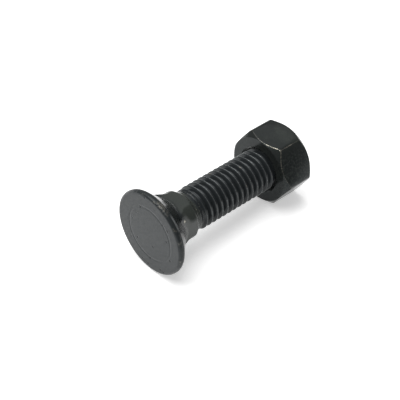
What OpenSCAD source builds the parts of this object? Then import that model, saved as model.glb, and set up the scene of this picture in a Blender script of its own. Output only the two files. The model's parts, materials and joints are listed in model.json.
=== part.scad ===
// Plow bolt with its hex nut: a flat countersunk head forged on a square neck,
// a rolled coarse thread, and the nut run on to the far end of the thread.
// It lies as it comes to rest, on the rim of the head and on one flat of the nut.

/* [Head] */
// Diameter of the flat head
head_d = 19.7; // [17:0.1:24]
// Height of the straight rim behind the face
head_rim = 1.2; // [0.8:0.1:2]
// Rounding where the face meets the rim
head_edge_r = 0.4; // [0.2:0.05:0.7]
// Half angle of the countersunk underside, from the axis
head_cone_angle = 45; // [40:1:50]
// Diameter of the shallow ring pressed into the face
ring_d = 12.9; // [10:0.1:15]
// Width of the ring
ring_w = 0.5; // [0.3:0.05:0.8]
// Depth of the ring
ring_depth = 0.12; // [0.05:0.01:0.2]

/* [Neck] */
// Width of the square neck across its flats
neck_w = 10; // [9.6:0.1:11]
// Length of the neck from where the cone meets its flats
neck_length = 4.0; // [2.8:0.05:6]
// Height taken off each sharp corner of the square
neck_corner_cut = 1.35; // [0.7:0.05:1.6]
// Length from the start of the neck over which its corners taper
neck_taper_length = 1.15; // [0.8:0.05:2.2]
// Angle at which the corners taper as they leave the cone, from the axis
neck_taper_angle = 24; // [15:1:35]
// Fillet between the cone and the flats of the neck
neck_fillet_r = 2.4; // [1:0.1:3.5]
// Angle of the chamfer at the end of the neck, from the axis
neck_chamfer_angle = 46; // [35:1:60]
// Width of the small shoulder left where the chamfer meets the shank
neck_shoulder = 0.12; // [0.08:0.01:0.4]

/* [Thread] */
// Overall length from the face to the threaded end
bolt_length = 40; // [34:0.5:60]
// Outside diameter of the thread
thread_d = 9.9; // [9.4:0.05:10.1]
// Distance between two turns
thread_pitch = 1.5; // [1.25:0.05:1.75]
// Length of plain shank between the neck and the first turn
shank_length = 0.35; // [0.2:0.05:6]
// Length over which the first turns grow to full height
thread_runout = 2.2; // [1:0.1:3]
// Angle around the axis at which the thread starts
thread_phase = 323; // [0:1:359]
// How far the chamfer at the threaded end cuts below the roots
end_chamfer_below_root = 0.25; // [0.15:0.05:0.6]

/* [Nut] */
// Width of the nut across its flats
nut_w = 15.8; // [14.5:0.1:19]
// Height of the nut
nut_h = 8.4; // [6:0.1:10]
// Height taken off each sharp corner of the hexagon
nut_corner_cut = 0.15; // [0.05:0.01:0.3]
// Distance from the flats to the edge of the round bearing faces
nut_face_inset = 0.1; // [0.05:0.05:0.5]
// Depth of the chamfer, measured at the corners
nut_chamfer = 1.2; // [0.6:0.05:1.6]
// Gap all round between the bore of the nut and the thread
nut_clearance = 0.15; // [0.1:0.01:0.3]
// Width of the countersink at each end of the bore
nut_sink_w = 0.5; // [0.3:0.05:0.8]
// Distance that the nut reaches past the threaded end
nut_past_end = 0.65; // [-6:0.05:2]

/* [Hidden] */
$fn = 96;
steel_colour = "#4a4d4d";
nut_colour = "#454848";
// How far a cutting solid runs past the face that it cuts
overshoot = 0.5;
arc_steps = 8;

// Countersunk underside, the fillet that leads into the neck, and the neck
head_r = head_d / 2;
neck_r = neck_w / 2;
neck_start = head_rim + (head_r - neck_r) / tan(head_cone_angle);
neck_end = neck_start + neck_length;
fillet_end = neck_start + neck_fillet_r * tan(head_cone_angle / 2);
neck_corner_r = neck_r * sqrt(2) - neck_corner_cut;
neck_taper_end = neck_start + neck_taper_length;

// Sixty degree thread, with its crest and root flattened to shares of the pitch
thread_r = thread_d / 2;
thread_h = thread_pitch * 0.6134;
crest_share = 1 / 8;
root_share = 1 / 4;
flank_share = (1 - crest_share - root_share) / 2;
shank_r = thread_r - thread_h / 2;
thread_start = neck_end + shank_length;
end_r = shank_r - thread_h / 2 - end_chamfer_below_root;
neck_end_r = shank_r + neck_shoulder;
neck_chamfer_start = neck_end - (neck_corner_r - neck_end_r) / tan(neck_chamfer_angle);

// Rows of one turn: share of the pitch, and height from -1 at the root to 1 at the crest
thread_rows = [
    [0, -1],
    [flank_share, 1],
    [flank_share + crest_share, 1],
    [2 * flank_share + crest_share, -1]
];
row_count = len(thread_rows);
turn_steps = 28;
first_turn = thread_start - 2 * thread_pitch;
turn_count = ceil((bolt_length + thread_pitch - first_turn) / thread_pitch);
last_row = turn_count * row_count;

// Nut
nut_corner_r = nut_w / 2 / cos(30) - nut_corner_cut;
nut_face_r = nut_w / 2 - nut_face_inset;
nut_far = bolt_length + nut_past_end;
nut_at = nut_far - nut_h;
bore_r = thread_r + nut_clearance;
sink_r = bore_r + nut_sink_w;
sink_angle = 30;
sink_depth = nut_sink_w * tan(sink_angle);

// Rest: the inner edge of the rim and the far edge of the lowest flat touch the floor
nut_slope = nut_chamfer / (nut_corner_r - nut_face_r);
rest_near = head_rim;
rest_far = nut_far - nut_face_inset * nut_slope;
tilt = atan((head_r - nut_w / 2) / (rest_far - rest_near));
rest_height = head_r * cos(tilt) + rest_near * sin(tilt);
span_low = head_edge_r * (cos(tilt) - 1) - (head_r - head_edge_r) * sin(tilt);
span_high = max(nut_far, bolt_length) * cos(tilt) + nut_face_r * sin(tilt);
span_middle = (span_low + span_high) / 2;

// Lays the upright axis down, head towards -X, and sets the part on the floor
module lying() {
    translate([-span_middle, 0, rest_height])
        rotate([0, 90 + tilt, 0])
            children();
}

// Points of an arc round a centre, from one angle to another
function arc(centre, radius, from, to) = [
    for (i = [0:arc_steps])
        let (angle = from + (to - from) * i / arc_steps)
            centre + radius * [cos(angle), sin(angle)]
];

// Half section of the head, with its axis on the left and its face at the bottom
module head_section() {
    edge_centre = [head_r - head_edge_r, head_edge_r];
    fillet_centre = [neck_r + neck_fillet_r, fillet_end];
    polygon(concat(
        [[0, 0]],
        arc(edge_centre, head_edge_r, -90, 0),
        [[head_r, head_rim]],
        arc(fillet_centre, neck_fillet_r, 180 + head_cone_angle, 180),
        [[0, fillet_end]]
    ));
}

// Shallow ring cut round the middle of the face
module face_ring() {
    translate([0, 0, -overshoot])
        difference() {
            cylinder(d = ring_d + ring_w, h = overshoot + ring_depth);
            translate([0, 0, -overshoot])
                cylinder(d = ring_d - ring_w, h = 3 * overshoot + ring_depth);
        }
}

// Square neck whose rounded corners taper from the cone and are chamfered at the shank
module square_neck() {
    intersection() {
        translate([-neck_r, -neck_r, head_rim])
            cube([neck_w, neck_w, neck_end - head_rim]);
        rotate_extrude()
            polygon([
                [0, 0],
                [neck_corner_r + neck_taper_end * tan(neck_taper_angle), 0],
                [neck_corner_r, neck_taper_end],
                [neck_corner_r, neck_chamfer_start],
                [neck_end_r, neck_end],
                [0, neck_end]
            ]);
    }
}

// Share of its full height that the thread has reached at a distance from the face
function thread_growth(z) = min(1, max(0, (z - thread_start) / thread_runout));

// Point of the threaded shank on one row and one step around the axis
function thread_point(row, step) =
    let (
        shape = thread_rows[row % row_count],
        z = first_turn + (floor(row / row_count) + shape[0] + step / turn_steps) * thread_pitch,
        radius = shank_r + shape[1] * thread_growth(z) * thread_h / 2,
        angle = thread_phase + 360 * step / turn_steps
    )
    [radius * cos(angle), radius * sin(angle), z];

// Index of a point, where one whole turn leads on to the row a pitch further along
function thread_index(row, step) =
    step == turn_steps ? thread_index(row + row_count, 0) : row * turn_steps + step;

// The two triangles between two rows and two steps
function thread_patch(row, step) =
    let (
        a = thread_index(row, step),
        b = thread_index(row + 1, step),
        c = thread_index(row + 1, step + 1),
        d = thread_index(row, step + 1)
    )
    [[a, b, d], [b, c, d]];

// Shank with its helical thread, as one winding wall closed by a fan at each raw end
module raw_thread() {
    steps = [0:turn_steps - 1];
    rows = [0:row_count - 1];
    points = [for (row = [0:last_row + row_count]) for (step = steps) thread_point(row, step)];
    end_points = [for (turn = [0, turn_count]) [0, 0, first_turn + (turn + 0.5) * thread_pitch]];
    low = len(points);
    high = low + 1;
    walls = [
        for (row = [0:last_row - 1])
            for (step = steps)
                each thread_patch(row, step)
    ];
    low_fan = concat(
        [for (step = steps) [low, thread_index(0, step), thread_index(0, step + 1)]],
        [for (row = rows) [low, thread_index(row + 1, 0), thread_index(row, 0)]]
    );
    high_fan = concat(
        [for (step = steps) [high, thread_index(last_row, step + 1), thread_index(last_row, step)]],
        [for (row = rows) [high, thread_index(last_row + row, 0), thread_index(last_row + row + 1, 0)]]
    );
    polyhedron(points = concat(points, end_points), faces = concat(walls, low_fan, high_fan));
}

// Envelope that cuts the thread square and chamfers its end
module thread_end() {
    rotate_extrude()
        polygon([
            [0, 0],
            [thread_d, 0],
            [thread_d, bolt_length - (thread_d - end_r)],
            [end_r, bolt_length],
            [0, bolt_length]
        ]);
}

module plow_bolt() {
    color(steel_colour)
        lying()
            union() {
                difference() {
                    rotate_extrude()
                        head_section();
                    face_ring();
                }
                square_neck();
                intersection() {
                    raw_thread();
                    thread_end();
                }
            }
}

// Round envelope that blunts and chamfers the corners of the hexagon
module nut_turning() {
    rotate_extrude()
        polygon([
            [0, 0],
            [nut_face_r, 0],
            [nut_corner_r, nut_chamfer],
            [nut_corner_r, nut_h - nut_chamfer],
            [nut_face_r, nut_h],
            [0, nut_h]
        ]);
}

// Bore that clears the thread, countersunk at both ends
module nut_bore() {
    rotate_extrude()
        polygon([
            [0, -overshoot],
            [sink_r, -overshoot],
            [sink_r, 0],
            [bore_r, sink_depth],
            [bore_r, nut_h - sink_depth],
            [sink_r, nut_h],
            [sink_r, nut_h + overshoot],
            [0, nut_h + overshoot]
        ]);
}

module hex_nut() {
    color(nut_colour)
        lying()
            translate([0, 0, nut_at])
                difference() {
                    intersection() {
                        rotate(30)
                            cylinder(d = nut_w / cos(30), h = nut_h, $fn = 6);
                        nut_turning();
                    }
                    nut_bore();
                }
}

plow_bolt();
hex_nut();
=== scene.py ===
"""Plow bolt with its hex nut, modelled and finished for a studio picture on a pale floor.

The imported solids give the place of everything: the bolt's axis, its head, neck and threaded end,
and the bearing face of the nut. Lengths are in metres. The finishes work in millimetres in the
bolt's own axes, with X along it from the face of the head and Z up.
"""
import json
import math

import bmesh
import bpy
from bpy.props import FloatProperty, FloatVectorProperty, PointerProperty
from mathutils import Matrix, Vector


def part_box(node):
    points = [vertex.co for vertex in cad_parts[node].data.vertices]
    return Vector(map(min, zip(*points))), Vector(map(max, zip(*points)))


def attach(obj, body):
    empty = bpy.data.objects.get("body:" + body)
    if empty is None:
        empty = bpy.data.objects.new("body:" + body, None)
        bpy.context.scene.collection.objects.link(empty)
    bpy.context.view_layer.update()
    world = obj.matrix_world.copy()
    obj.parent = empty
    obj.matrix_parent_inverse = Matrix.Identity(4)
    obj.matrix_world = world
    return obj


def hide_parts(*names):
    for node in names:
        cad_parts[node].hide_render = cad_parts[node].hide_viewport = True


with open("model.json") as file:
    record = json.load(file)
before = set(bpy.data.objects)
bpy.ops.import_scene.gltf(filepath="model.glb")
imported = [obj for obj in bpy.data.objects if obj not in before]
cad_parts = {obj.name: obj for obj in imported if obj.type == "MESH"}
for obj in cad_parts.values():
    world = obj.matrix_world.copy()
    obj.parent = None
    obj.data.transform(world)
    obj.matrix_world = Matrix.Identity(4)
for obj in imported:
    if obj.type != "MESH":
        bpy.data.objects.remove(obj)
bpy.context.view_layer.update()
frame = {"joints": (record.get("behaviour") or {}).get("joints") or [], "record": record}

bl_info = {
    "name": "Plow Bolt",
    "version": (1, 0, 0),
    "blender": (4, 5, 0),
    "location": "3D View > Sidebar > Plow Bolt",
    "description": "Models a plow bolt and its nut and finishes them in black oxide",
    "category": "Add Mesh",
}

MM = 0.001
TURN = 2 * math.pi

# Number of steps that round forms are made with
HEAD_STEPS = 144
THREAD_STEPS = 72
THREAD_ROWS = 20
NUT_STEPS = 144
ARC_STEPS = 5
BEVEL_STEPS = 3

# Small distances in the meshes
NECK_ROW = 0.16 * MM  # between the rows of the cone and the neck
FLAT_ROW = 0.04 * MM  # from the ring and the rounded edge to the rows that keep the face flat
JOIN_GAP = 0.05 * MM  # between the last row of the head and the first of the thread
SINK_GAP = 0.03 * MM  # between the countersink and the face of the nut
CORNER_SLACK = 0.01 * MM  # how near to the full radius a corner of the nut is
MERGE_DISTANCE = 1e-6
PLANE_DISTANCE = 1e-5
SHARP_ANGLE = math.radians(38)

# Reach of the roundings where the faces of the neck meet
TAPER_EASE = 0.30 * MM
CORNER_EASE = 0.08 * MM
CHAMFER_EASE = 0.30 * MM
SHANK_EASE = 0.10 * MM

# Section of the ring in the face: place across its width, and share of its depth
RING_SECTION = ((-0.5, 0), (-0.2, 0.6), (0, 1), (0.2, 0.6), (0.5, 0))

# Rings that close the threaded end: share of the last ring's size, and how far below it they sink
END_RINGS = ((0.92, 0), (0.88, 0.10 * MM), (0.5, 0.02 * MM), (0, 0))

# Form of the thread, as shares of its pitch
THREAD_DEPTH = 0.6134
CREST_HALF = 1 / 16
ROOT_HALF = 1 / 8
FIRST_CREST = 3 / 8  # from the start of the thread to the middle of its crest

FLANK_POWER = 7  # how sharply the flanks turn into crests and roots
LEAD_TURNS = 1.5  # turns that are wound before the place where the thread is cut off
NUT_DEPTH = 0.92  # depth of the nut's thread as a share of the bolt's
SINK_SLOPE = math.tan(math.radians(60))  # radius that the countersink loses per depth

# Spots in millimetres in the bolt's axes: worn knocks on the rim and the nut, and places of painted
# highlights on the back of the rim and the neck corner; the nut's counts from its near face
RIM_KNOCK = (0.3, -2.9, 9.3)
RIM_PAINTED_GLINT = (1.2, -6.45, 7.25)
NECK_HIGHLIGHT = (5.5, -5.0, 3.95)
NUT_KNOCK = (0.6, -4.3, 7.6)

# Where the mottled, mostly darker side of the nut begins and where it is full, in millimetres to the
# side
MOTTLED_SIDE = (-4.5, -6.5)

# Values that the oil film and the bump have on both pieces
OIL_FILM = {"Coat Roughness": 0.16, "Coat IOR": 1.5}
BUMP = {"Strength": 0.6, "Distance": 1.0 * MM}

# Sockets of a Mix node that mixes colours
MIX_FACTOR, MIX_FIRST, MIX_SECOND, MIX_RESULT = 0, 6, 7, 2

FLOOR_SIZE = 4.0
SENSOR_WIDTH = 36  # of the camera, in millimetres
CLIP_START = 0.01  # nearest distance that the camera sees
SEEN_BY = ("Is Camera Ray", "Is Glossy Ray", "Is Transmission Ray")

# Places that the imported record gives
mounts = {mount["name"]: Vector(mount["pos_m"]) for mount in frame["record"]["mounts"]}
bolt_axis = Vector(frame["joints"][0]["axis"]).normalized()
head_centre = mounts["head_face"]


def axial(mount):
    """Distance of a mount from the face of the head, along the bolt."""
    return (mounts[mount] - head_centre).dot(bolt_axis)


def width_across(node):
    """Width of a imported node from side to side."""
    low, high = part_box(node)
    return high.y - low.y


def bolt_to_frame():
    """Matrix from the bolt's own axes, X along it from the face and Z up, to the frame."""
    side = Vector((0, 1, 0))
    turned = Matrix((bolt_axis, side, bolt_axis.cross(side))).transposed()
    return Matrix.Translation(head_centre) @ turned.to_4x4()


def length(name, value, description):
    """A length in millimetres as a property in metres."""
    return FloatProperty(
        name=name, description=description, default=value * MM,
        subtype="DISTANCE", unit="LENGTH", precision=5,
    )


def spot(name, values, description):
    """A place in millimetres as a property in metres."""
    return FloatVectorProperty(
        name=name, description=description, default=[value * MM for value in values],
        subtype="XYZ", unit="LENGTH", precision=5,
    )


def angle(name, degrees, description):
    """An angle property, stated in degrees."""
    return FloatProperty(
        name=name, description=description, default=math.radians(degrees),
        subtype="ANGLE", unit="ROTATION",
    )


def number(name, value, description, unit="NONE"):
    """A property that is a plain number, or one in a unit."""
    return FloatProperty(name=name, description=description, default=value, min=0, unit=unit)


def colour(name, value, description):
    """A linear colour property."""
    return FloatVectorProperty(
        name=name, description=description, default=value, subtype="COLOR", size=3, min=0, max=1
    )


class BoltSizes(bpy.types.PropertyGroup):
    """Sizes of the forged bolt."""

    head_diameter: length("Head", width_across("plow_bolt") / MM, "Diameter of the flat head")
    rim: length("Rim", 1.2, "Height of the straight rim behind the face")
    edge_radius: length("Face edge", 0.6, "Rounding where the face meets the rim")
    back_radius: length("Rim edge", 0.35, "Rounding where the rim meets the cone")
    ring_diameter: length("Ring", 12.9, "Diameter of the shallow ring in the face")
    ring_width: length("Ring width", 0.7, "Width of the ring")
    ring_depth: length("Ring depth", 0.06, "Depth of the ring")
    ring_side: length("Ring to the side", -0.35, "How far to the side of the middle the ring is pressed")
    ring_up: length("Ring up", 0.15, "How far above the middle the ring is pressed")
    cone_angle: angle("Cone", 45, "Half angle of the countersunk underside")
    neck_start: length("Neck start", axial("square_neck_seat") / MM, "Where the cone meets the flats")
    neck_length: length("Neck length", 4.0, "Length of the neck from the cone")
    neck_width: length("Neck", 10, "Width of the square neck")
    corner_cut: length("Neck corner", 1.50, "Height taken off each corner of the square")
    corner_lean: length("Neck lean", 0.16, "How much fuller the corner at the back is forged")
    taper_length: length("Taper", 1.15, "Length from the start of the neck over which its corners taper")
    taper: angle("Taper angle", 24, "Angle at which the corners taper as they leave the cone")
    shoulder: length("Shoulder", 0.12, "Small shoulder where the chamfer meets the shank")
    neck_chamfer: angle("Neck chamfer", 46, "Angle of the chamfer at the end of the neck")
    flare: length("Flare", 0.8, "Reach of the fillet between the cone and the neck")
    thread_diameter: length("Thread", 9.9, "Outside diameter of the thread")
    pitch: length("Pitch", 1.5, "Distance between two turns")
    shank: length("Shank", 0.35, "Plain length between the neck and the first turn")
    runout: length("Run-out", 2.2, "Length over which the first turns grow")
    phase: angle("Phase", 323, "Angle around the axis at which the thread starts")
    end: length("Length", axial("bolt_thread") / MM, "Distance from the face to the threaded end")
    end_cut: length("End chamfer", 0.25, "How far the end chamfer cuts below the roots")


class NutSizes(bpy.types.PropertyGroup):
    """Sizes of the nut."""

    width: length("Width", 15.8, "Width across the flats")
    corner_diameter: length("Corners", width_across("hex_nut") / MM, "Diameter over the corners")
    height: length("Height", 8.4, "Height of the nut")
    face_inset: length("Face inset", 0.1, "Distance from the flats to the round faces")
    chamfer: length("Chamfer", 1.2, "Depth of the chamfer at the corners")
    sink_radius: length("Countersink", 5.6, "Radius of the countersink at the faces")
    clearance: length("Clearance", 0.05, "Play between the two threads")
    edge: length("Edge", 0.1, "Width of the worn edges")
    start: length("Place", axial("nut_bearing_face") / MM, "Distance from the head to the near face")


class FinishColours(bpy.types.PropertyGroup):
    """Colours of the finish."""

    oxide: colour("Oxide", (0.026, 0.030, 0.032), "Black oxide on clean faces of the bolt")
    nut_oxide: colour("Nut oxide", (0.020, 0.0225, 0.0215), "Black oxide on the nut")
    olive: colour("Olive", (0.036, 0.041, 0.036), "Warmer oxide where the coating is thin")
    # Besides pits and grain, the deep colour paints shade into the bolt's thread roots, onto its cone
    # and onto its rim.
    deep: colour("Deep", (0.006, 0.0075, 0.008), "Darkest oxide, as in roots and pits and on the cone")
    # The steel colour paints highlights on the crests and on the back of the rim.
    steel: colour("Steel", (0.40, 0.42, 0.42), "Steel that shines on the crests and the back of the rim")
    bare: colour("Bare steel", (0.46, 0.43, 0.36), "Steel where the coating is rubbed off")
    brown: colour("Brown", (0.20, 0.155, 0.09), "Brown tint on nicked crests")


class StudioSizes(bpy.types.PropertyGroup):
    """Camera, floor and lamps."""

    lens: number("Lens", 101.6, "Focal length in mm on a sensor 36 mm wide", unit="CAMERA")
    distance: length("Distance", 244.0, "Distance from the lens to the aim")
    azimuth: angle("Azimuth", -44.0, "Direction of the camera around the part")
    elevation: angle("Elevation", 44.87, "Height of the camera above the floor")
    roll: angle("Roll", 2.0, "Turn of the camera about its own view")
    aim: spot("Aim", (-4.165, 1.649, 8.025), "Point in the middle of the picture")
    floor: colour("Floor", (0.92, 0.92, 0.92), "Colour of the floor")
    floor_lift: number("Floor lift", 0.48, "White added to the floor where it is seen")
    room_light: number("Room light", 0.20, "Strength of the even light from all round")
    key_place: spot("Key lamp", (-100, 200, 640), "Where the large lamp hangs")
    key_size: length("Key size", 750, "Side of the large lamp")
    key_power: number("Key power", 6.6, "Power of the large lamp", unit="POWER")
    fill_place: spot("Fill lamp", (450, 470, 640), "Where the small lamp hangs")
    fill_size: length("Fill size", 500, "Side of the small lamp")
    fill_power: number("Fill power", 0.42, "Power of the small lamp", unit="POWER")


def radial(point):
    """Distance of a point from the bolt's axis and its angle around it."""
    return math.hypot(point.y, point.z), math.atan2(point.z, point.y)


def set_radial(vert, radius, around):
    """Puts a vertex at a distance from the axis."""
    vert.co.y = radius * math.cos(around)
    vert.co.z = radius * math.sin(around)


def soft_min(a, b, reach):
    """The smaller of two values, eased where they are closer than reach."""
    near = max(reach - abs(a - b), 0) / reach
    return min(a, b) - near * near * reach / 4


def soft_max(a, b, reach):
    """The larger of two values, eased where they are closer than reach."""
    return -soft_min(-a, -b, reach)


def arc(centre, radius, start, stop):
    """Points (x, r) of an arc in the half section of a turned form."""
    angles = [math.radians(start + (stop - start) * i / ARC_STEPS) for i in range(ARC_STEPS + 1)]
    return [(centre[0] + radius * math.cos(a), centre[1] + radius * math.sin(a)) for a in angles]


def add_outline(bm, points):
    """An open line of vertices at (x, r), ready to spin."""
    verts = [bm.verts.new((x, r, 0)) for x, r in points]
    edges = [bm.edges.new(pair) for pair in zip(verts, verts[1:])]
    return verts + edges


def spin_outline(bm, points, steps):
    """Turns an outline once around the bolt's axis."""
    made = add_outline(bm, points)
    bmesh.ops.spin(
        bm, geom=made, cent=(0, 0, 0), axis=(1, 0, 0), dvec=(0, 0, 0),
        angle=TURN, steps=steps, use_merge=True, use_normal_flip=False, use_duplicate=False,
    )
    bmesh.ops.remove_doubles(bm, verts=bm.verts[:], dist=MERGE_DISTANCE)


def screw_outline(points, pitch, turns):
    """A new bmesh of one pitch of outline, wound right-handed along the axis."""
    bm = bmesh.new()
    made = add_outline(bm, points)
    bmesh.ops.spin(
        bm, geom=made, cent=(0, 0, 0), axis=(1, 0, 0), dvec=(pitch / THREAD_STEPS, 0, 0),
        angle=TURN, steps=THREAD_STEPS, use_merge=False, use_normal_flip=False, use_duplicate=False,
    )
    one_turn = bm.verts[:] + bm.edges[:] + bm.faces[:]
    for turn in range(1, turns):
        copied = bmesh.ops.duplicate(bm, geom=one_turn)["geom"]
        moved = [item for item in copied if isinstance(item, bmesh.types.BMVert)]
        bmesh.ops.translate(bm, verts=moved, vec=(pitch * turn, 0, 0))
    bmesh.ops.remove_doubles(bm, verts=bm.verts[:], dist=MERGE_DISTANCE)
    return bm


def cut_square(bm, x, keep_beyond):
    """Cuts a shell at a plane across the axis and keeps one side."""
    bmesh.ops.bisect_plane(
        bm, geom=bm.verts[:] + bm.edges[:] + bm.faces[:], dist=MERGE_DISTANCE,
        plane_co=(x, 0, 0), plane_no=(1, 0, 0), clear_inner=keep_beyond, clear_outer=not keep_beyond,
    )


def open_edges_at(bm, x):
    """Edges of the open rim that lies in a plane across the axis."""
    def in_plane(edge):
        return all(abs(vert.co.x - x) < PLANE_DISTANCE for vert in edge.verts)

    return [edge for edge in bm.edges if edge.is_boundary and in_plane(edge)]


def absorb(bm, other):
    """Adds another bmesh to this one."""
    mesh = bpy.data.meshes.new("part")
    other.to_mesh(mesh)
    other.free()
    bm.from_mesh(mesh)
    bpy.data.meshes.remove(mesh)


def make_piece(name, bm, material, body, node):
    """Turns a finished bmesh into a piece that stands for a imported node."""
    bmesh.ops.remove_doubles(bm, verts=bm.verts[:], dist=MERGE_DISTANCE)
    bmesh.ops.recalc_face_normals(bm, faces=bm.faces[:])
    bmesh.ops.transform(bm, matrix=bolt_to_frame(), verts=bm.verts[:])
    mesh = bpy.data.meshes.new(name)
    bm.to_mesh(mesh)
    bm.free()
    mesh.shade_smooth()
    mesh.set_sharp_from_angle(angle=SHARP_ANGLE)
    mesh.materials.append(material)
    piece = bpy.data.objects.new(name, mesh)
    bpy.context.scene.collection.objects.link(piece)
    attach(piece, body)
    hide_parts(node)


class Value:
    """A shader socket that takes part in plain arithmetic."""

    def __init__(self, finish, socket):
        self.finish = finish
        self.socket = socket

    def maths(self, operation, *terms):
        """A Math node on these terms."""
        return self.finish.node("ShaderNodeMath", {"operation": operation}, terms)

    def __add__(self, other):
        return self.maths("ADD", self, other)

    def __sub__(self, other):
        return self.maths("SUBTRACT", self, other)

    def __rsub__(self, other):
        return self.maths("SUBTRACT", other, self)

    def __mul__(self, other):
        return self.maths("MULTIPLY", self, other)

    __radd__ = __add__
    __rmul__ = __mul__


class Finish:
    """A material whose nodes are added by plain calls."""

    def __init__(self, name):
        self.material = bpy.data.materials.new(name)
        self.material.use_nodes = True
        self.tree = self.material.node_tree
        self.tree.nodes.clear()

    def node(self, kind, settings=None, inputs=(), output=0):
        """Adds a node: its settings first, then values or links by socket number or name."""
        node = self.tree.nodes.new(kind)
        for key, value in (settings or {}).items():
            setattr(node, key, value)
        for key, value in inputs.items() if isinstance(inputs, dict) else enumerate(inputs):
            if isinstance(value, Value):
                self.tree.links.new(value.socket, node.inputs[key])
            else:
                node.inputs[key].default_value = value
        return Value(self, node.outputs[output]) if node.outputs else None

    def ramp(self, value, low, high):
        """Eases from 0 at low to 1 at high; low may be the larger."""
        if low > high:
            return 1 - self.ramp(value, high, low)
        settings = {"interpolation_type": "SMOOTHSTEP", "clamp": True}
        return self.node("ShaderNodeMapRange", settings, (value, low, high, 0.0, 1.0))

    def band(self, value, low, high, fade):
        """1 from low to high, easing to 0 over a distance on both sides."""
        return self.ramp(value, low - fade, low) * self.ramp(value, high + fade, high)

    def clamp(self, value):
        """Holds a value between 0 and 1."""
        return self.node("ShaderNodeClamp", None, (value, 0.0, 1.0))

    def mix(self, factor, first, second):
        """Mixes two colours."""
        inputs = {MIX_FACTOR: factor, MIX_FIRST: first, MIX_SECOND: second}
        return self.node("ShaderNodeMix", {"data_type": "RGBA"}, inputs, output=MIX_RESULT)

    def noise(self, place, scale, detail, roughness):
        """Smooth noise from 0 to 1, with its scale in cells per millimetre."""
        inputs = {"Vector": place, "Scale": scale, "Detail": detail, "Roughness": roughness}
        return self.node("ShaderNodeTexNoise", {"noise_dimensions": "3D"}, inputs)

    def cells(self, place, scale):
        """Distance to the nearest of points strewn at a scale per millimetre."""
        return self.node("ShaderNodeTexVoronoi", {"feature": "F1"}, {"Vector": place, "Scale": scale})

    def bolt_place(self):
        """Place on the bolt in millimetres, in the bolt's own axes."""
        to_bolt = bolt_to_frame().inverted()
        turn = to_bolt.to_euler()
        where = self.node("ShaderNodeTexCoord", output="Object")
        return self.node(
            "ShaderNodeMapping", {"vector_type": "POINT"},
            (where, to_bolt.translation / MM, turn, Vector((1, 1, 1)) / MM),
        )

    def part(self, place, axis):
        """The part of a place along one axis."""
        return self.node("ShaderNodeSeparateXYZ", None, (place,), output=axis)

    def distance(self, place, point):
        """Distance of a place from a point."""
        settings = {"operation": "DISTANCE"}
        return self.node("ShaderNodeVectorMath", settings, (place, point), output="Value")

    def from_axis(self, place):
        """Distance of a place from the bolt's axis."""
        across = self.node("ShaderNodeVectorMath", {"operation": "MULTIPLY"}, (place, (0, 1, 1)))
        return self.distance(across, (0, 0, 0))

    def near(self, place, point, far, close):
        """1 close to a point in millimetres, easing to 0 at the far distance."""
        return self.ramp(self.distance(place, point), far, close)

    def attribute(self, name):
        """A number that is stored on the mesh."""
        return self.node("ShaderNodeAttribute", {"attribute_name": name}, output="Fac")

    def bump(self, height):
        """A normal bent by a height in millimetres."""
        return self.node("ShaderNodeBump", None, {**BUMP, "Height": height})

    def close(self, inputs):
        """Ends the material in one shader; fixed values are set on its own sockets."""
        shader = self.node("ShaderNodeBsdfPrincipled", None, inputs)
        self.node("ShaderNodeOutputMaterial", None, (shader,))
        return self.material


def opaque(rgb):
    """A colour with full alpha."""
    return (*rgb, 1.0)


def neck_end(sizes):
    """Distance from the face to the end of the neck."""
    return sizes.neck_start + sizes.neck_length


def thread_start(sizes):
    """Distance from the face to the first turn of the thread."""
    return neck_end(sizes) + sizes.shank


class BoltZones:
    """Masks that are 1 on a part of the bolt and fade to 0 around it, over distances in millimetres."""

    def __init__(self, finish, sizes, place):
        edge, rim = sizes.edge_radius / MM, sizes.rim / MM
        neck, thread = sizes.neck_start / MM, thread_start(sizes) / MM
        head_radius = sizes.head_diameter / 2 / MM
        thread_radius = sizes.thread_diameter / 2 / MM
        along = finish.part(place, "X")
        radius = finish.from_axis(place)
        past_cone = finish.ramp(along, neck - 1.65, neck + 0.15)
        before_cone = finish.ramp(along, rim + 0.5, rim - 0.1)

        self.face = finish.ramp(along, edge / 2, edge / 5)
        self.rim = finish.band(along, edge, rim, fade=0.4)
        self.rim_edge = finish.ramp(radius, head_radius - 0.45, head_radius - 0.05) * before_cone
        self.rim_back = finish.band(along, rim - 0.1, rim + 0.1, fade=0.25)
        self.behind = finish.ramp(along, rim - 0.2, rim + 0.8)
        self.cone = self.behind * (1 - past_cone)
        self.thread = finish.ramp(along, thread - 0.3, thread + 0.8)
        self.neck = past_cone * (1 - self.thread)
        after_neck = finish.ramp(along, thread - 0.8, thread - 0.2)
        self.first_turn = after_neck * finish.ramp(along, thread + 1.8, thread + 0.8)
        self.valley = self.thread * finish.ramp(radius, thread_radius - 0.15, thread_radius - 0.70)
        self.crest = self.thread * finish.ramp(radius, thread_radius - 0.12, thread_radius - 0.01)


def oxide_coat(finish, place, oxide, colours, olive_share):
    """Colour, oil film and grain of the black oxide coat."""
    cloud = finish.noise(place, scale=0.22, detail=3.0, roughness=0.6)
    grain = finish.noise(place, scale=3.2, detail=4.0, roughness=0.65)
    streaks = finish.noise(place, scale=1.7, detail=4.0, roughness=0.7)
    tint = finish.ramp(cloud + olive_share, 0.55, 1.0)
    coat = finish.mix(tint, opaque(oxide), opaque(colours.olive))
    coat = finish.mix(finish.ramp(grain, 0.25, 0.8) * 0.28, coat, opaque(colours.deep))
    film = finish.ramp(streaks, 0.33, 0.67)
    return coat, film, grain


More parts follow.
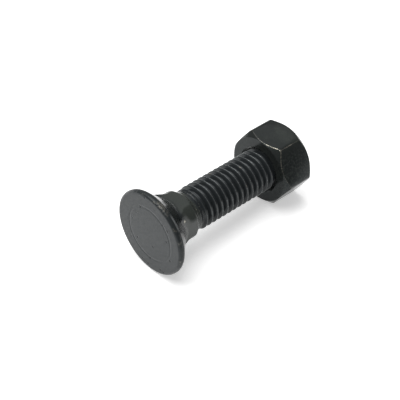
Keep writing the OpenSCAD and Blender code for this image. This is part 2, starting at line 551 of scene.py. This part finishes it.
def bolt_wear_and_highlights(finish, place, on, patches, scuffs):
    """Where the coat is rubbed off the bolt, with a painted highlight on the neck corner, and where
    steel shines: on the crests partly wear and partly painted highlight, and a painted highlight on the
    back of the rim.
    """
    knock = finish.near(place, RIM_KNOCK, far=2.4, close=0.6)
    rim_wear = finish.ramp(patches, 0.50, 0.66) * 0.25 + knock * 0.20
    rim_rub = on.rim_edge * finish.ramp(scuffs, 0.42, 0.62) * rim_wear
    # Painted highlight: a small patch of bare steel on the near corner of the neck, where a glint of the
    # lamp falls.
    neck_highlight_spot = finish.near(place, NECK_HIGHLIGHT, far=0.50, close=0.20)
    neck_painted_highlight = neck_highlight_spot * finish.ramp(scuffs, 0.36, 0.56) * 0.7
    flecks = on.first_turn * finish.ramp(scuffs, 0.60, 0.72) * 0.45
    # This holds the worn rim edge and the flecks on the first turn, together with the painted highlight
    # on the neck corner.
    rubbed = finish.clamp(rim_rub + neck_painted_highlight + flecks)

    # Painted highlight: steel along the back edge of the rim, where the lamp glints.
    rim_painted_glint = on.rim_back * finish.near(place, RIM_PAINTED_GLINT, far=2.4, close=0.8) * 0.30
    # Steel along every crest: partly worn crests, partly a painted highlight on them.
    crest_wear_and_highlight = on.crest * (0.10 + 0.27 * finish.ramp(scuffs, 0.50, 0.70))
    sheen_and_wear = finish.clamp(crest_wear_and_highlight + rim_painted_glint)
    return rubbed, sheen_and_wear


def bolt_finish(sizes, colours):
    """Black oxide on the bolt: rubbed rim and crests, painted shade in the thread roots, on the cone and
    on the rim, painted highlights on the crests, the neck corner and the back of the rim, small pits in
    the face.
    """
    finish = Finish("bolt_black_oxide")
    place = finish.bolt_place()
    on = BoltZones(finish, sizes, place)
    coat, film, grain = oxide_coat(finish, place, colours.oxide, colours, 0.45 * on.neck)
    pit = on.face * finish.ramp(finish.cells(place, scale=0.45), 0.17, 0.12)
    # Painted shade: the thread roots, the cone under the head and the rim are darkened towards the deep
    # colour, the cone doubly on the next line; only the pits in the face are real marks.
    pits_and_painted_shade = finish.clamp(on.valley * 0.20 + on.cone * 0.45 + pit + on.rim * 0.45)
    coat = finish.mix(finish.clamp(pits_and_painted_shade + on.cone * 0.5), coat, opaque(colours.deep))

    patches = finish.noise(place, scale=0.55, detail=3.0, roughness=0.6)
    scuffs = finish.noise(place, scale=2.6, detail=3.0, roughness=0.7)
    nick = on.crest * finish.ramp(patches, 0.60, 0.72)
    coat = finish.mix(nick * 0.55, coat, opaque(colours.brown))
    rubbed, sheen_and_wear = bolt_wear_and_highlights(finish, place, on, patches, scuffs)
    # Bare steel on the worn places and on the painted highlight of the neck corner.
    coat = finish.mix(rubbed, coat, opaque(colours.bare))
    # Steel on the crests, partly wear and partly painted highlight, and the painted glint on the back of
    # the rim.
    coat = finish.mix(sheen_and_wear, coat, opaque(colours.steel))

    height = grain * 0.016 * (1 - on.behind) + patches * (0.02 - 0.018 * on.behind) - pit * 0.10
    satin = 0.27 - 0.13 * on.behind + 0.08 * on.neck - 0.05 * on.thread + 0.20 * on.rim
    oil = 0.03 + 0.26 * film * (1 - 0.85 * on.behind) + 0.15 * on.behind
    return finish.close({
        "Base Color": coat,
        "Roughness": satin + 0.08 * grain - 0.04 * rubbed,
        "Metallic": finish.clamp(rubbed + sheen_and_wear),
        "Coat Weight": oil * (1 - 0.8 * pits_and_painted_shade),
        "Normal": finish.bump(height),
        "IOR": 1.27,
        "Specular Tint": (0.92, 0.99, 1.0, 1.0),
        **OIL_FILM,
    })


def nut_finish(sizes, colours):
    """Black oxide on the nut: mottled and mostly darker on its side towards -Y, rubbed bright along its
    edges.
    """
    finish = Finish("nut_black_oxide")
    place = finish.bolt_place()
    across = finish.part(place, "Y")
    coat, film, grain = oxide_coat(finish, place, colours.nut_oxide, colours, 0.10)
    # The side of the nut towards -Y turns mottled, deep in most places and olive in some.
    mottled_side = finish.ramp(across, *MOTTLED_SIDE)
    mottle = finish.ramp(finish.noise(place, scale=2.2, detail=4.0, roughness=0.7), 0.46, 0.66)
    coat = finish.mix(mottled_side * (1 - mottle) * 0.6, coat, opaque(colours.deep))
    coat = finish.mix(mottled_side * mottle * 0.6, coat, opaque(colours.olive))
    speck = finish.ramp(finish.cells(place, scale=0.45), 0.06, 0.03)
    coat = finish.mix(speck * 0.5, coat, opaque(colours.deep))

    patches = finish.noise(place, scale=0.50, detail=3.0, roughness=0.6)
    scuffs = finish.noise(place, scale=3.4, detail=3.0, roughness=0.7)
    knock_place = Vector(NUT_KNOCK) + Vector((sizes.start / MM, 0, 0))
    knock = finish.near(place, knock_place, far=6.0, close=1.0)
    wear = 0.08 + 0.22 * finish.ramp(patches, 0.45, 0.65) + knock
    edge = finish.attribute("edge_wear")
    rubbed = finish.clamp(edge * (0.03 + finish.ramp(scuffs, 0.45, 0.62) * wear))
    coat = finish.mix(rubbed, coat, opaque(colours.bare))
    return finish.close({
        "Base Color": coat,
        "Roughness": 0.15 + 0.09 * grain - 0.04 * rubbed,
        "Metallic": rubbed,
        "Coat Weight": 0.04 + 0.11 * film,
        "Normal": finish.bump(patches * 0.006 - speck * 0.02),
        "IOR": 1.26,
        "Specular Tint": (0.84, 0.97, 1.0, 1.0),
        **OIL_FILM,
    })


def thread_depth(sizes):
    """Height of the thread from root to crest."""
    return THREAD_DEPTH * sizes.pitch


def shank_radius(sizes):
    """Radius of the plain shank, half way up the thread."""
    return (sizes.thread_diameter - thread_depth(sizes)) / 2


def neck_radius(sizes, x, around):
    """Distance from the axis to the cone, the square neck or the shank at one place."""
    half = sizes.neck_width / 2
    shank = shank_radius(sizes)
    flat = half / max(abs(math.cos(around)), abs(math.sin(around)))
    corner = half * math.sqrt(2) - sizes.corner_cut + sizes.corner_lean * math.cos(around - TURN / 8)
    taper = (sizes.neck_start + sizes.taper_length - x) * math.tan(sizes.taper)
    corner = soft_max(corner, corner + taper, TAPER_EASE)
    chamfer = shank + sizes.shoulder + (neck_end(sizes) - x) * math.tan(sizes.neck_chamfer)
    cone = half + (sizes.neck_start - x) * math.tan(sizes.cone_angle)
    neck = soft_min(soft_min(flat, corner, CORNER_EASE), chamfer, CHAMFER_EASE)
    return soft_max(soft_max(cone, neck, sizes.flare), shank, SHANK_EASE)


def eased(steep):
    """Follows a slope near its middle and rounds it off to -1 and 1."""
    return steep / (1 + abs(steep) ** FLANK_POWER) ** (1 / FLANK_POWER)


def thread_rise(part):
    """Height of the thread, 1 at a crest and -1 at a root, at a share of the pitch from a crest."""
    from_crest = abs(part - round(part))
    slope = ((0.5 - ROOT_HALF) - CREST_HALF) / 2
    middle = (0.5 - ROOT_HALF + CREST_HALF) / 2
    return eased((middle - from_crest) / slope) / eased(middle / slope)


def crest_at_start(sizes):
    """Distance from the face of a crest on the line that points to the side."""
    quarter_turn = 1 / 4
    return thread_start(sizes) + sizes.pitch * (FIRST_CREST + quarter_turn - sizes.phase / TURN)


def wind_turns(sizes, start, stop, radius_at):
    """Turns that reach past two places; radius_at takes a share of the pitch, 0.5 at a bolt's crest."""
    pitch = sizes.pitch
    crest = crest_at_start(sizes)
    first = crest - pitch * (math.ceil((crest - start) / pitch) + LEAD_TURNS)
    turns = math.ceil((stop - first) / pitch) + 1
    parts = [i / THREAD_ROWS for i in range(THREAD_ROWS + 1)]
    return screw_outline([(first + pitch * part, radius_at(part)) for part in parts], pitch, turns)


def turned_head(bm, sizes):
    """Spins the head and the blank of the neck, presses the neck square and says where it ends."""
    head_r = sizes.head_diameter / 2
    edge, back = sizes.edge_radius, sizes.back_radius
    ring_mid = sizes.ring_diameter / 2
    ring = [(deep * sizes.ring_depth, ring_mid + off * sizes.ring_width) for off, deep in RING_SECTION]
    ring_in, ring_out = ring[0][1], ring[-1][1]
    face = [(0, 0), (0, ring_mid / 2), (0, ring_in - FLAT_ROW), *ring, (0, ring_out + FLAT_ROW)]
    rim = [(0, head_r - edge - FLAT_ROW), *arc((edge, head_r - edge), edge, 180, 90)]
    rim_back = arc((sizes.rim - back, head_r - back), back, 90, 90 - math.degrees(sizes.cone_angle))
    cone_x, cone_r = rim_back[-1]
    join = neck_end(sizes) + sizes.shank / 2
    rows = int((join - cone_x) / NECK_ROW)
    first = cone_x + NECK_ROW
    step = (join - first) / rows
    under = [(first + step * i, head_r / 2) for i in range(rows + 1)]
    spin_outline(bm, face + rim + rim_back + under, HEAD_STEPS)
    pressed = [v for v in bm.verts if v.co.x < edge / 2 and radial(v.co)[0] < ring_out + 2 * FLAT_ROW]
    bmesh.ops.translate(bm, verts=pressed, vec=(0, sizes.ring_side, sizes.ring_up))
    for vert in bm.verts:
        if vert.co.x > first - NECK_ROW / 2:
            around = radial(vert.co)[1]
            set_radial(vert, min(neck_radius(sizes, vert.co.x, around), cone_r), around)
    return join


def wound_thread(sizes, start):
    """The rolled thread from the plain shank to the chamfered end, open at both ends."""
    depth, shank = thread_depth(sizes), shank_radius(sizes)
    bm = wind_turns(sizes, start, sizes.end, lambda part: shank + thread_rise(0.5 + part) * depth / 2)
    grows_from = thread_start(sizes)
    end_radius = shank - depth / 2 - sizes.end_cut
    for vert in bm.verts:
        radius, around = radial(vert.co)
        growth = min(max((vert.co.x - grows_from) / sizes.runout, 0), 1)
        radius = shank + (radius - shank) * growth * growth * (3 - 2 * growth)
        set_radial(vert, min(radius, end_radius + max(sizes.end - vert.co.x, 0)), around)
    cut_square(bm, start, keep_beyond=True)
    cut_square(bm, sizes.end, keep_beyond=False)
    return bm


def close_end(bm, x):
    """Closes the threaded end with rings that narrow to a slightly dished middle."""
    rim = open_edges_at(bm, x)
    for narrowed, sunk in END_RINGS:
        made = bmesh.ops.extrude_edge_only(bm, edges=rim)["geom"]
        verts = [item for item in made if isinstance(item, bmesh.types.BMVert)]
        rim = [item for item in made if isinstance(item, bmesh.types.BMEdge)]
        bmesh.ops.scale(bm, vec=(1, narrowed, narrowed), verts=verts)
        bmesh.ops.translate(bm, vec=(-sunk, 0, 0), verts=verts)


def forge_bolt(sizes):
    """The whole bolt as one closed shell in its own axes."""
    bm = bmesh.new()
    join = turned_head(bm, sizes)
    start = join + JOIN_GAP
    absorb(bm, wound_thread(sizes, start))
    bmesh.ops.bridge_loops(bm, edges=open_edges_at(bm, join) + open_edges_at(bm, start))
    close_end(bm, sizes.end)
    return bm


def hexagon_radius(sizes, around):
    """Distance from the axis to the side of the hexagon, one flat facing up."""
    sector = TURN / 6
    off_flat = (around - TURN / 4 + sector / 2) % sector - sector / 2
    return min(sizes.width / 2 / math.cos(off_flat), sizes.corner_diameter / 2)


def pressed_hexagon(bm, sizes):
    """Spins the outside of the nut, presses its flats and rounds its edges."""
    wear = bm.verts.layers.float.new("edge_wear")
    face_r = sizes.width / 2 - sizes.face_inset
    corner_r = sizes.corner_diameter / 2
    slope = sizes.chamfer / (corner_r - face_r)
    near, far = sizes.start, sizes.start + sizes.height
    middle = (near + far) / 2
    inner = sizes.sink_radius + SINK_GAP
    outline = [(near, inner), (near, face_r), (near + sizes.chamfer, corner_r),
               (far - sizes.chamfer, corner_r), (far, face_r), (far, inner)]
    spin_outline(bm, outline, NUT_STEPS)
    edge_verts, corner_verts = set(), set()
    for vert in bm.verts:
        radius, around = radial(vert.co)
        if radius < corner_r - sizes.edge:
            continue
        hexagon = hexagon_radius(sizes, around)
        depth = (hexagon - face_r) * slope
        vert.co.x = near + depth if vert.co.x < middle else far - depth
        set_radial(vert, hexagon, around)
        edge_verts.add(vert)
        if hexagon > corner_r - CORNER_SLACK:
            corner_verts.add(vert)

    def is_worn(edge):
        """Whether an edge runs along a chamfer or down a corner."""
        level = abs(edge.verts[0].co.x - edge.verts[1].co.x) < sizes.height / 3
        return edge_verts.issuperset(edge.verts) and (level or corner_verts.issuperset(edge.verts))

    made = bmesh.ops.bevel(
        bm, geom=[edge for edge in bm.edges if is_worn(edge)], offset=sizes.edge, offset_type="OFFSET",
        segments=BEVEL_STEPS, profile=0.5, affect="EDGES", material=-1, clamp_overlap=True,
    )
    strip = set(made["faces"])
    for vert in made["verts"]:
        vert[wear] = 1.0 if strip.issuperset(vert.link_faces) else 0.0


def tapped_bore(bolt, sizes):
    """The nut's own thread, cut to its height and countersunk at both faces."""
    root = bolt.thread_diameter / 2 + 2 * sizes.clearance
    crest = root - NUT_DEPTH * thread_depth(bolt)
    near, far = sizes.start, sizes.start + sizes.height
    play = sizes.clearance / bolt.pitch

    def bore_radius(part):
        """Radius at a share of the pitch; the groove lies over the bolt's crest."""
        from_groove = max(abs(part - 0.5) - play, 0)
        return crest + (root - crest) * (thread_rise(from_groove) + 1) / 2

    bm = wind_turns(bolt, near, far, bore_radius)
    for vert in bm.verts:
        radius, around = radial(vert.co)
        from_face = max(min(vert.co.x - near, far - vert.co.x), 0)
        set_radial(vert, max(radius, sizes.sink_radius - from_face * SINK_SLOPE), around)
    cut_square(bm, near, keep_beyond=True)
    cut_square(bm, far, keep_beyond=False)
    return bm


def forge_nut(bolt, sizes):
    """The whole nut as one closed shell in the bolt's axes."""
    bm = bmesh.new()
    pressed_hexagon(bm, sizes)
    absorb(bm, tapped_bore(bolt, sizes))
    for x in (sizes.start, sizes.start + sizes.height):
        bmesh.ops.triangle_fill(bm, edges=open_edges_at(bm, x), use_beauty=True, normal=(1, 0, 0))
    return bm


class PLOWBOLT_OT_bolt(bpy.types.Operator):
    """Model the forged bolt and finish it"""

    bl_idname = "plowbolt.bolt"
    bl_label = "Plow Bolt"

    def execute(self, context):
        sizes = context.scene.plow_bolt
        material = bolt_finish(sizes, context.scene.plow_colours)
        make_piece("forged_bolt", forge_bolt(sizes), material, "bolt", "plow_bolt")
        return {"FINISHED"}


class PLOWBOLT_OT_nut(bpy.types.Operator):
    """Model the tapped nut and finish it"""

    bl_idname = "plowbolt.nut"
    bl_label = "Hex Nut"

    def execute(self, context):
        sizes = context.scene.plow_nut
        material = nut_finish(sizes, context.scene.plow_colours)
        shell = forge_nut(context.scene.plow_bolt, sizes)
        make_piece("tapped_nut", shell, material, "nut", "hex_nut")
        return {"FINISHED"}


def floor_finish(studio):
    """Pale floor that the camera and reflections see as white, shadow apart."""
    finish = Finish("studio_floor")
    camera, glossy, through = (finish.node("ShaderNodeLightPath", output=ray) for ray in SEEN_BY)
    seen = finish.clamp(camera + glossy + through)
    black, lift = opaque((0, 0, 0)), opaque([studio.floor_lift] * 3)
    return finish.close({
        "Base Color": opaque(studio.floor),
        "Roughness": 0.9,
        "Specular IOR Level": 0.0,
        "Emission Color": finish.mix(seen, black, lift),
        "Emission Strength": 1.0,
    })


def lay_floor(studio):
    """A wide floor under the part."""
    bm = bmesh.new()
    bmesh.ops.create_grid(bm, x_segments=1, y_segments=1, size=FLOOR_SIZE)
    mesh = bpy.data.meshes.new("studio_floor")
    bm.to_mesh(mesh)
    bm.free()
    mesh.materials.append(floor_finish(studio))
    floor = bpy.data.objects.new("studio_floor", mesh)
    bpy.context.scene.collection.objects.link(floor)


def hang_lamp(name, place, size, power):
    """A square soft box that faces the floor under the part."""
    lamp = bpy.data.lights.new(name, "AREA")
    lamp.shape = "SQUARE"
    lamp.size = size
    lamp.energy = power
    holder = bpy.data.objects.new(name, lamp)
    holder.location = place
    holder.rotation_euler = (-Vector(place)).to_track_quat("-Z", "Y").to_euler()
    bpy.context.scene.collection.objects.link(holder)


def light_room(scene, strength):
    """Soft light from all round."""
    world = bpy.data.worlds.new("studio_room")
    world.use_nodes = True
    background = world.node_tree.nodes["Background"]
    background.inputs["Color"].default_value = (1, 1, 1, 1)
    background.inputs["Strength"].default_value = strength
    scene.world = world


def set_camera(scene, studio):
    """The camera, on its orbit round the aim."""
    camera = bpy.data.cameras.new("camera")
    camera.lens = studio.lens
    camera.sensor_width = SENSOR_WIDTH
    camera.clip_start = CLIP_START
    level = math.cos(studio.elevation)
    back = Vector((
        math.sin(studio.azimuth) * level, -math.cos(studio.azimuth) * level, math.sin(studio.elevation)
    ))
    holder = bpy.data.objects.new("camera", camera)
    holder.location = Vector(studio.aim) + back * studio.distance
    turn = (-back).to_track_quat("-Z", "Y").to_matrix() @ Matrix.Rotation(studio.roll, 3, "Z")
    holder.rotation_euler = turn.to_euler()
    scene.collection.objects.link(holder)
    scene.camera = holder


class PLOWBOLT_OT_stage(bpy.types.Operator):
    """Lay the floor, hang the lamps and set the camera"""

    bl_idname = "plowbolt.stage"
    bl_label = "Studio"

    def execute(self, context):
        scene = context.scene
        studio = scene.plow_studio
        scene.view_settings.view_transform = "Standard"
        lay_floor(studio)
        light_room(scene, studio.room_light)
        hang_lamp("key_lamp", studio.key_place, studio.key_size, studio.key_power)
        hang_lamp("fill_lamp", studio.fill_place, studio.fill_size, studio.fill_power)
        set_camera(scene, studio)
        return {"FINISHED"}


class PLOWBOLT_PT_sidebar(bpy.types.Panel):
    """The pieces and their settings in the 3D view's sidebar"""

    bl_idname = "PLOWBOLT_PT_sidebar"
    bl_label = "Plow Bolt"
    bl_space_type = "VIEW_3D"
    bl_region_type = "UI"
    bl_category = "Plow Bolt"

    def draw(self, context):
        for operator in OPERATORS:
            self.layout.operator(operator.bl_idname)
        for name, group in SETTINGS.items():
            box = self.layout.box()
            for setting in group.__annotations__:
                box.prop(getattr(context.scene, name), setting)


SETTINGS = {
    "plow_bolt": BoltSizes,
    "plow_nut": NutSizes,
    "plow_colours": FinishColours,
    "plow_studio": StudioSizes,
}
OPERATORS = (PLOWBOLT_OT_stage, PLOWBOLT_OT_bolt, PLOWBOLT_OT_nut)
CLASSES = (*SETTINGS.values(), *OPERATORS, PLOWBOLT_PT_sidebar)


def register():
    """Registers the classes and hangs the settings on the scene."""
    for item in CLASSES:
        bpy.utils.register_class(item)
    for name, group in SETTINGS.items():
        setattr(bpy.types.Scene, name, PointerProperty(type=group))


def unregister():
    """Takes the settings and the classes away again."""
    for name in SETTINGS:
        delattr(bpy.types.Scene, name)
    for item in reversed(CLASSES):
        bpy.utils.unregister_class(item)


def main():
    """Builds everything in order."""
    register()
    bpy.ops.plowbolt.stage()
    bpy.ops.plowbolt.bolt()
    bpy.ops.plowbolt.nut()


if __name__ == "__main__":
    main()
